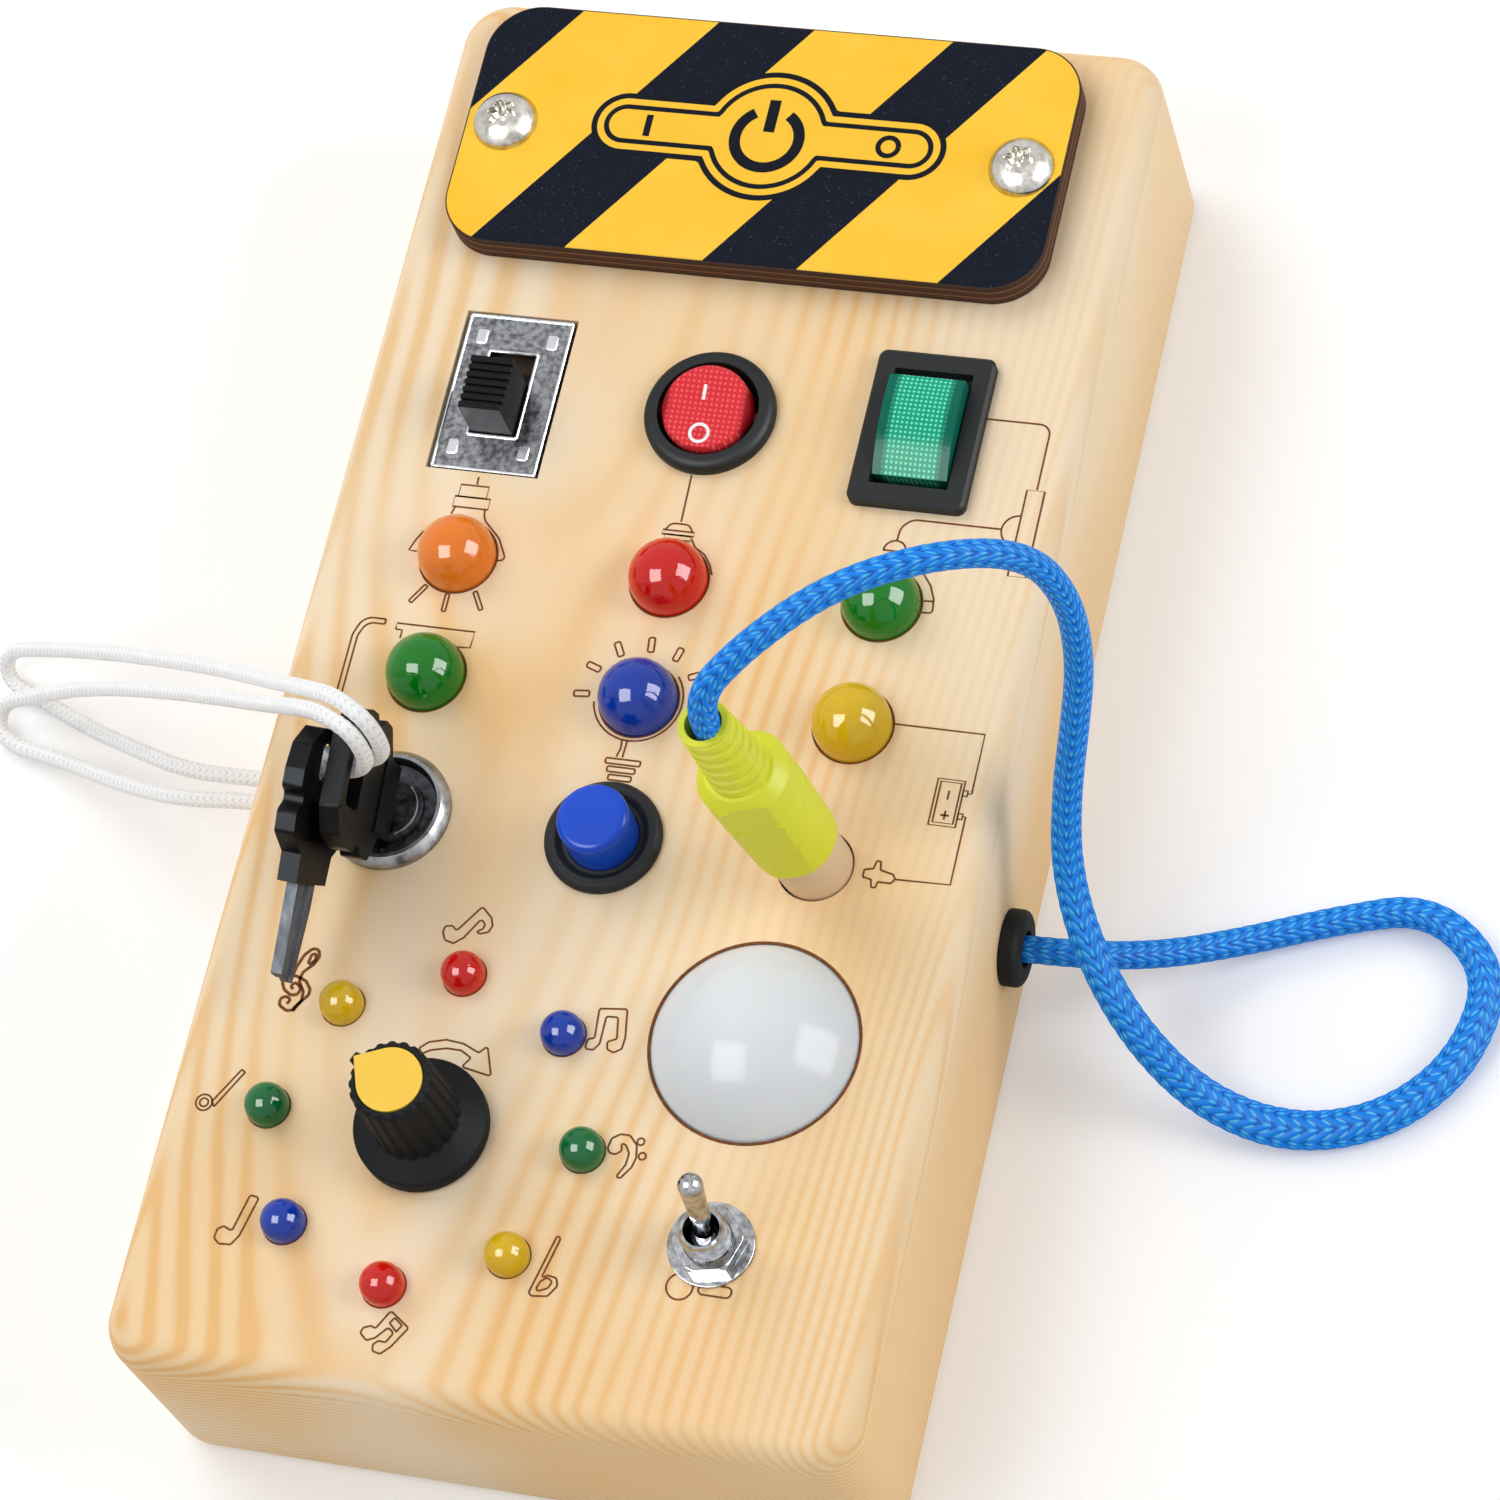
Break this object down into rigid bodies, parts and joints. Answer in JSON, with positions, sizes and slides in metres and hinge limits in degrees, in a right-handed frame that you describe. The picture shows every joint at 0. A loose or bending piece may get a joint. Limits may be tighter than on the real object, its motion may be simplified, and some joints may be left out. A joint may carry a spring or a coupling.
{
  "type": "wooden busy board",
  "caption": "Wooden switch and lamp busy board with slide, rocker, push, key, plug, dial and toggle controls, a striped plaque, a braided cord and a key lanyard.",
  "frame": {"origin": "middle of the flat back of the wooden body, which the board lies on", "axes": "+Z out of the face with the controls, +Y along the body towards the striped plaque, +X to the right seen from the front"},
  "size_m": [0.2079, 0.194, 0.0918],
  "materials": {
    "pine": "sanded and oiled",
    "panel_ply": "sanded",
    "plaque_laminate": "satin, printed",
    "black_plastic": "satin",
    "key_plastic": "semi-gloss",
    "steel": "stamped",
    "chrome": "polished",
    "lens_orange": "translucent",
    "lens_red": "translucent",
    "lens_green": "translucent",
    "lens_blue": "translucent",
    "lens_yellow": "translucent",
    "diffuser_white": "milky",
    "rocker_red": "translucent",
    "rocker_green": "translucent",
    "button_blue": "gloss",
    "plug_plastic": "satin, translucent",
    "collar_plastic": "matt",
    "cap_yellow": "gloss",
    "knob_plastic": "satin",
    "cord_blue": "braided sleeve",
    "lanyard_white": "round braid",
    "rubber_black": "matt",
    "circuit_green": "solder mask",
    "cell_wrap": "printed sleeve"
  },
  "bodies": {
    "board": {"housing": "pine", "back_panel": "panel_ply", "back_screws": "steel", "battery_tray": "black_plastic", "battery_cells": "cell_wrap", "battery_contacts": "steel", "plaque": "plaque_laminate", "plaque_screws": "steel", "lamp_orange": "lens_orange", "lamp_red": "lens_red", "lamp_green_right": "lens_green", "lamp_green_left": "lens_green", "lamp_blue": "lens_blue", "lamp_yellow": "lens_yellow", "small_lamp_1": "lens_green", "small_lamp_2": "lens_blue", "small_lamp_3": "lens_red", "small_lamp_4": "lens_yellow", "small_lamp_5": "lens_green", "small_lamp_6": "lens_blue", "small_lamp_7": "lens_red", "small_lamp_8": "lens_yellow", "ring_board": "circuit_green", "dome_cover": "diffuser_white", "dome_lamp": "circuit_green", "slide_frame": "steel", "slide_base": "black_plastic", "round_rocker_housing": "black_plastic", "square_rocker_housing": "black_plastic", "rocker_terminals": "steel", "push_housing": "black_plastic", "lock_body": "chrome", "panel_nuts": "steel", "jack_socket": "black_plastic", "potentiometer": "steel", "toggle_bushing": "chrome", "toggle_case": "black_plastic", "toggle_washer": "chrome", "toggle_nut": "chrome", "grommet": "rubber_black", "plug_cord": "cord_blue", "lanyard": "lanyard_white"},
    "battery_door": {"battery_cover": "black_plastic", "battery_cover_screw": "steel"},
    "slider": {"slide_knob": "black_plastic"},
    "round_rocker": {"round_rocker_button": "rocker_red"},
    "square_rocker": {"square_rocker_button": "rocker_green"},
    "push_button": {"push_cap": "button_blue"},
    "key": {"lock_core": "black_plastic", "key_one_bow": "key_plastic", "key_one_blade": "steel", "key_two_bow": "key_plastic", "key_two_blade": "steel"},
    "plug": {"plug_shell": "plug_plastic", "plug_collar": "collar_plastic", "plug_pin": "chrome"},
    "dial": {"knob": "knob_plastic", "knob_cap": "cap_yellow", "pot_shaft": "steel"},
    "toggle": {"toggle_lever": "chrome"}
  },
  "joints": [
    {"name": "battery_door_hinge", "type": "hinge", "parent": "board", "child": "battery_door", "pos_m": [-0.02775, 0.0075, 0.0016], "axis": [0, 1, 0], "range_deg": [0, 90]},
    {"name": "slide_switch", "type": "slide", "parent": "board", "child": "slider", "axis": [0, 1, 0], "range_m": [0, 0.0041]},
    {"name": "round_rocker_rock", "type": "hinge", "parent": "board", "child": "round_rocker", "pos_m": [-0.0004, 0.0381, 0.0324], "axis": [1, 0, 0], "range_deg": [-18, 0]},
    {"name": "square_rocker_rock", "type": "hinge", "parent": "board", "child": "square_rocker", "pos_m": [0.0277, 0.03845, 0.0324], "axis": [1, 0, 0], "range_deg": [-18, 0]},
    {"name": "push_button_press", "type": "slide", "parent": "board", "child": "push_button", "axis": [0, 0, -1], "range_m": [0, 0.0025], "stiffness_N_per_m": 200, "springref_m": -0.004},
    {"name": "key_turn", "type": "hinge", "parent": "board", "child": "key", "pos_m": [-0.0287, -0.0215, 0.0324], "axis": [0, 0, -1], "range_deg": [0, 90], "deforming": ["lanyard"]},
    {"name": "plug_pull", "type": "slide", "parent": "board", "child": "plug", "axis": [-0.1063, -0.0298, 0.9939], "range_m": [0, 0.02], "deforming": ["plug_cord"]},
    {"name": "dial_turn", "type": "hinge", "parent": "board", "child": "dial", "pos_m": [-0.0136, -0.0622, 0.0324], "axis": [0, 0, 1], "range_deg": [-215, 84]},
    {"name": "toggle_flip", "type": "hinge", "parent": "board", "child": "toggle", "pos_m": [0.0253, -0.0716, 0.0349], "axis": [1, 0, 0], "range_deg": [0, 22.8]}
  ]
}
